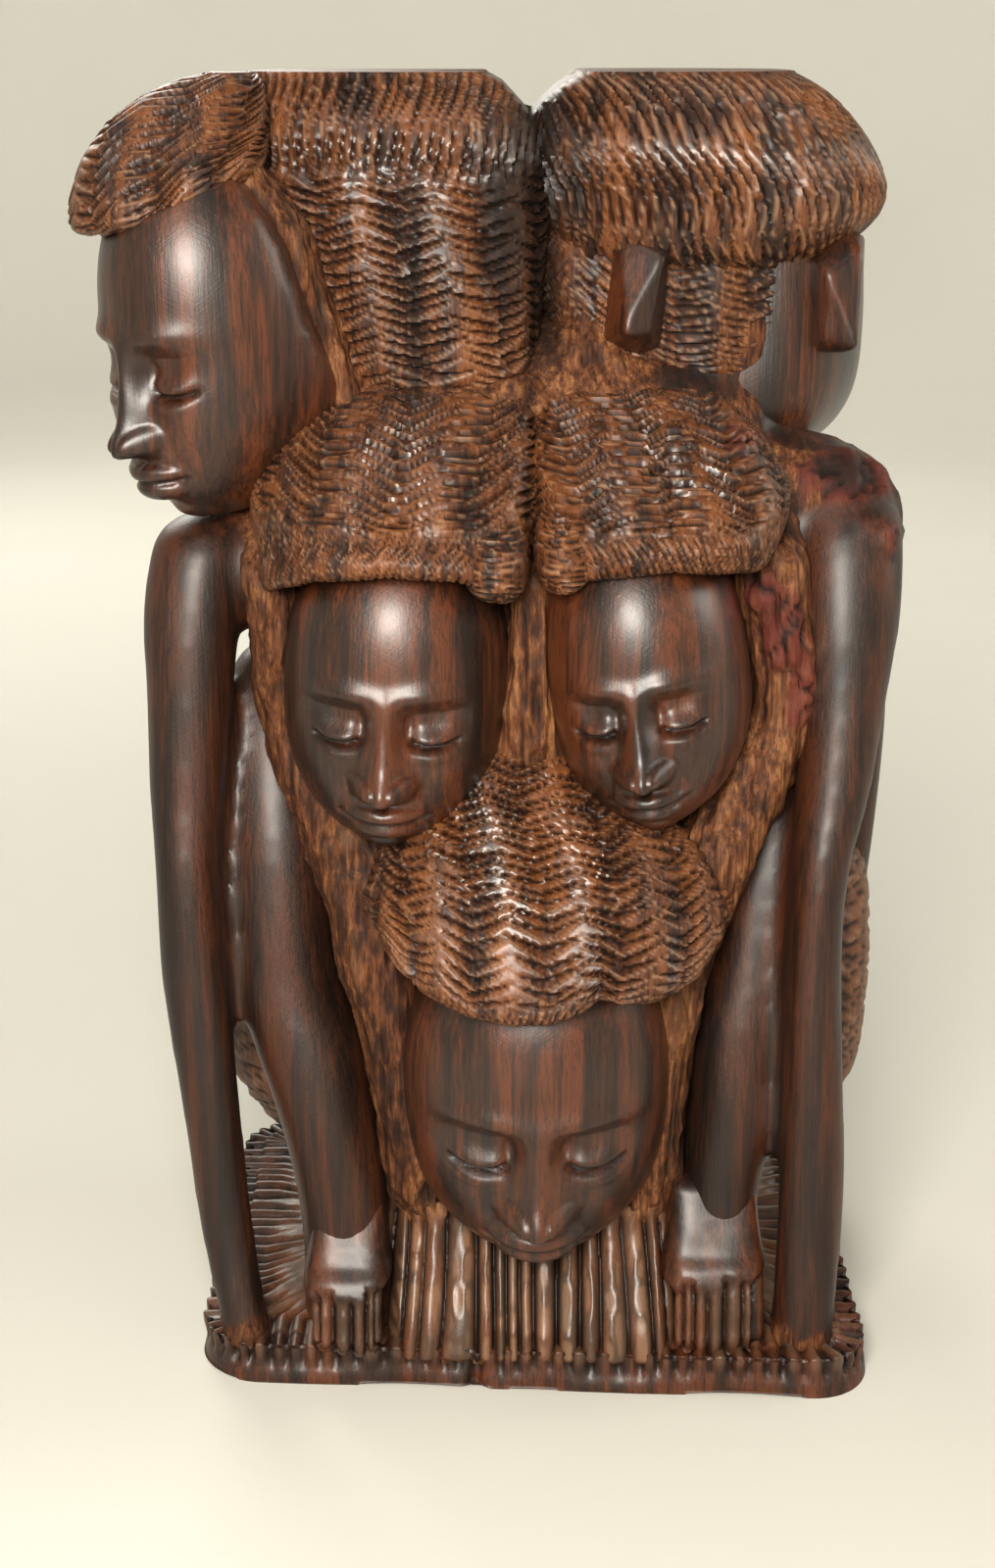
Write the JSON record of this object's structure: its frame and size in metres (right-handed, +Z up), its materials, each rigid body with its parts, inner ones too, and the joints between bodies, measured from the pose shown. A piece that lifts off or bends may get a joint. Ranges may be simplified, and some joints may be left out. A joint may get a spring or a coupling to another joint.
{
  "type": "makonde ujamaa carving",
  "caption": "Block carving of dark hardwood: stacked human heads with chip-carved hair, long arms and legs on a rounded, ribbed base; stands on its flat underside.",
  "frame": {"origin": "on the flat underside, under the middle of the base", "axes": "+Z up along the block's height; the front, with the lowest head and the apron, looks along -Y; +X is to the right in the picture"},
  "size_m": [0.1784, 0.1336, 0.28],
  "materials": {
    "blackwood": "dark brown hardwood with orange-brown grain, varnished and half glossy, rougher and paler where it was left unpolished"
  },
  "bodies": {
    "root": {"carving": "blackwood"}
  },
  "joints": []
}
